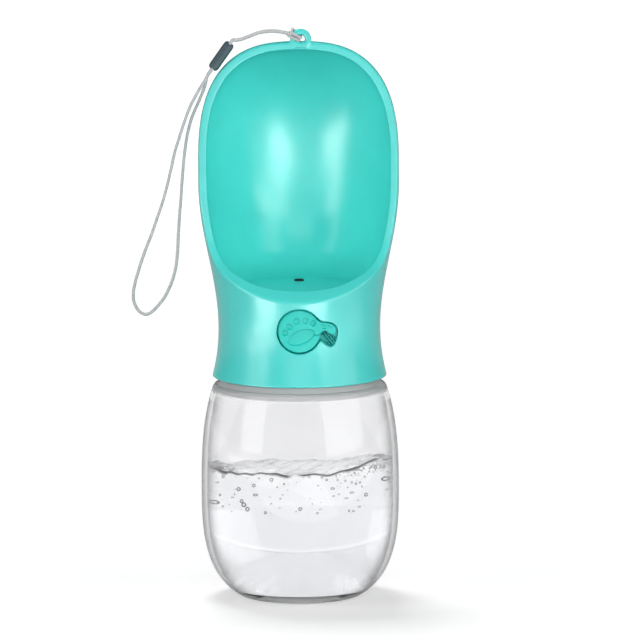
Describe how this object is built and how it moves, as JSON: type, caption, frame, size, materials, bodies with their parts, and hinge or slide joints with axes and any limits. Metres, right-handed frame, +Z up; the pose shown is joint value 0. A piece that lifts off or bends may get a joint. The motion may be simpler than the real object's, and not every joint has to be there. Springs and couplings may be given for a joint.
{
  "type": "dog travel water bottle",
  "caption": "Clear bottle with a screw-on scoop-shaped drinking trough, a turn-and-press water button with a paw print, and a corded wrist loop with a slide lock.",
  "frame": {"origin": "centre of the bottle's foot, on the surface it stands on", "axes": "+Z up along the bottle's axis, -Y out of the trough's opening and the button's face, +X to the right as seen from the front"},
  "size_m": [0.0958, 0.0708, 0.2057],
  "materials": {
    "clear_bottle": "clear, slightly milky, polished",
    "teal_shell": "satin moulded plastic",
    "teal_button": "satin moulded plastic, more saturated",
    "white_plastic": "moulded, uncoloured",
    "pale_silicone": "translucent silicone",
    "black_rubber": "smooth",
    "spring_steel": "drawn stainless wire and sheet",
    "grey_cord": "fine round braid",
    "dark_lock": "soft matt tube"
  },
  "bodies": {
    "bottle": {"bottle": "clear_bottle"},
    "seal": {"seal_ring": "pale_silicone"},
    "head": {"head_shell": "teal_shell", "threaded_ring": "teal_shell", "valve_housing": "white_plastic", "housing_seal": "pale_silicone", "outlet_grommet": "pale_silicone", "gland_ring": "white_plastic", "rod_seal": "black_rubber", "return_spring": "spring_steel", "spring_cap": "white_plastic", "cap_seal": "pale_silicone", "strap_cord": "grey_cord", "strap_knot": "grey_cord"},
    "plunger": {"valve_stem": "white_plastic", "poppet_seal": "black_rubber", "button_clip": "spring_steel"},
    "button": {"button": "teal_button"},
    "cord_lock": {"cord_lock": "dark_lock"}
  },
  "joints": [
    {"name": "head_lift", "type": "slide", "parent": "bottle", "child": "seal", "axis": [0, 0, 1], "range_m": [0, 0.0161]},
    {"name": "head_turn", "type": "hinge", "parent": "seal", "child": "head", "pos_m": [0, 0, 0.0797], "axis": [0, 0, 1], "range_deg": [0, 1440]},
    {"name": "button_press", "type": "slide", "parent": "head", "child": "plunger", "axis": [0, 1, 0], "range_m": [0, 0.003], "stiffness_N_per_m": 300, "springref_m": -0.004, "deforming": ["return_spring"]},
    {"name": "button_turn", "type": "hinge", "parent": "plunger", "child": "button", "pos_m": [0, -0.0228, 0.0998], "axis": [0, 1, 0], "range_deg": [0, 18]},
    {"name": "lock_slide", "type": "slide", "parent": "head", "child": "cord_lock", "axis": [-0.5764, 0, -0.8171], "range_m": [0, 0.002]}
  ],
  "couplings": [
    {"joint": "head_lift", "follows": "head_turn", "m_per_rad": 0.00063662}
  ]
}
